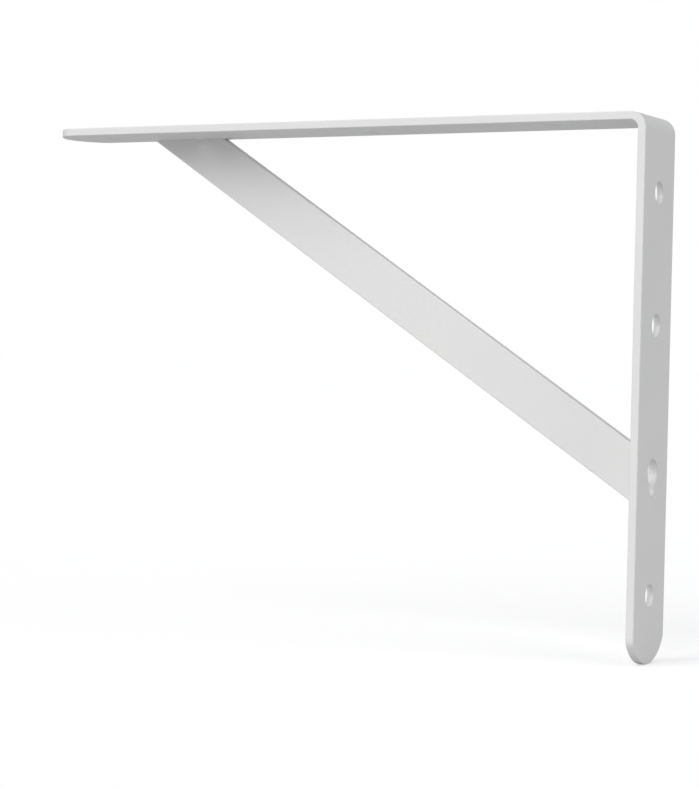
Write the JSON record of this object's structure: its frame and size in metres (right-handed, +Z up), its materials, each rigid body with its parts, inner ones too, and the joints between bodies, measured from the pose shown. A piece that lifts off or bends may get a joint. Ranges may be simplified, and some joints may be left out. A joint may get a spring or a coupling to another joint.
{
  "type": "braced shelf bracket",
  "caption": "Fixed steel shelf bracket: a flat bar bent into an L with arched ends, countersunk screw holes and a keyhole, braced by a diagonal strut welded on edge along one side.",
  "frame": {"origin": "centre of the upper wall screw hole, on the plane of the wall; the shelf's seat is 37 mm above it", "axes": "+X points out from the wall along the shelf arm, +Y is the open side of the bracket away from the strut, +Z is up"},
  "size_m": [0.338, 0.0409, 0.26],
  "materials": {
    "coated_bar": "white powder coat, fine orange peel",
    "coated_weld": "white powder coat over a rippled weld bead"
  },
  "bodies": {
    "root": {"bent_bar": "coated_bar", "diagonal_strut": "coated_bar", "upper_weld": "coated_weld", "lower_weld": "coated_weld"}
  },
  "joints": []
}
